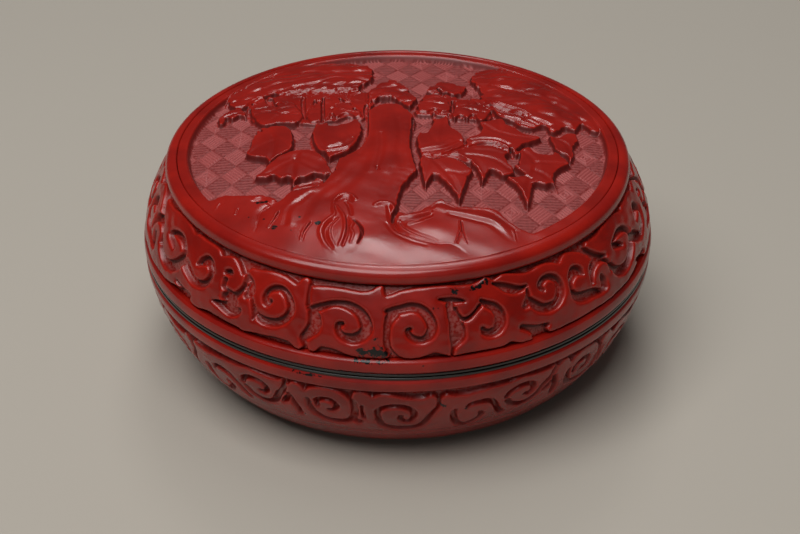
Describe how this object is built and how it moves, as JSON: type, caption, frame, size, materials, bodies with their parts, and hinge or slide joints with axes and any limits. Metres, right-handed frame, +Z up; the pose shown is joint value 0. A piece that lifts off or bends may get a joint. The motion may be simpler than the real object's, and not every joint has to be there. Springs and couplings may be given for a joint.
{
  "type": "round lidded box",
  "caption": "Round carved red lacquer box: a domed lid with a picture panel and scroll band lifts off a bowl-shaped base on a low foot, over a black inner lip.",
  "frame": {"origin": "centre of the foot ring's underside, on the surface the box stands on", "axes": "+Z up through the middle of the lid, -Y towards the viewer's side of the lid picture, +X to its right"},
  "size_m": [0.103, 0.103, 0.046],
  "materials": {
    "carved_red_lacquer": "carved cinnabar red lacquer, rubbed to a satin sheen",
    "picture_red_lacquer": "carved cinnabar red lacquer with dusty pink ground",
    "band_red_lacquer": "smooth cinnabar red lacquer, rubbed satin",
    "black_lacquer": "plain black lacquer, polished",
    "turned_wood": "turned softwood core, hidden under the lacquer"
  },
  "bodies": {
    "base": {"base_core": "turned_wood", "inner_lip": "black_lacquer", "base_seam_edge": "black_lacquer", "base_rim_band": "band_red_lacquer", "base_scroll_band": "carved_red_lacquer", "base_lower_band": "band_red_lacquer", "base_lining": "black_lacquer", "foot_ring": "black_lacquer", "underside_coat": "black_lacquer"},
    "lid": {"lid_picture_panel": "picture_red_lacquer", "lid_bead": "carved_red_lacquer", "lid_scroll_band": "carved_red_lacquer", "lid_rim_band": "band_red_lacquer", "lid_seam_edge": "black_lacquer", "lid_core": "turned_wood", "lid_lining": "black_lacquer"}
  },
  "joints": [
    {"name": "lid_lift", "type": "slide", "parent": "base", "child": "lid", "axis": [0, 0, 1], "range_m": [0, 0.06]}
  ]
}
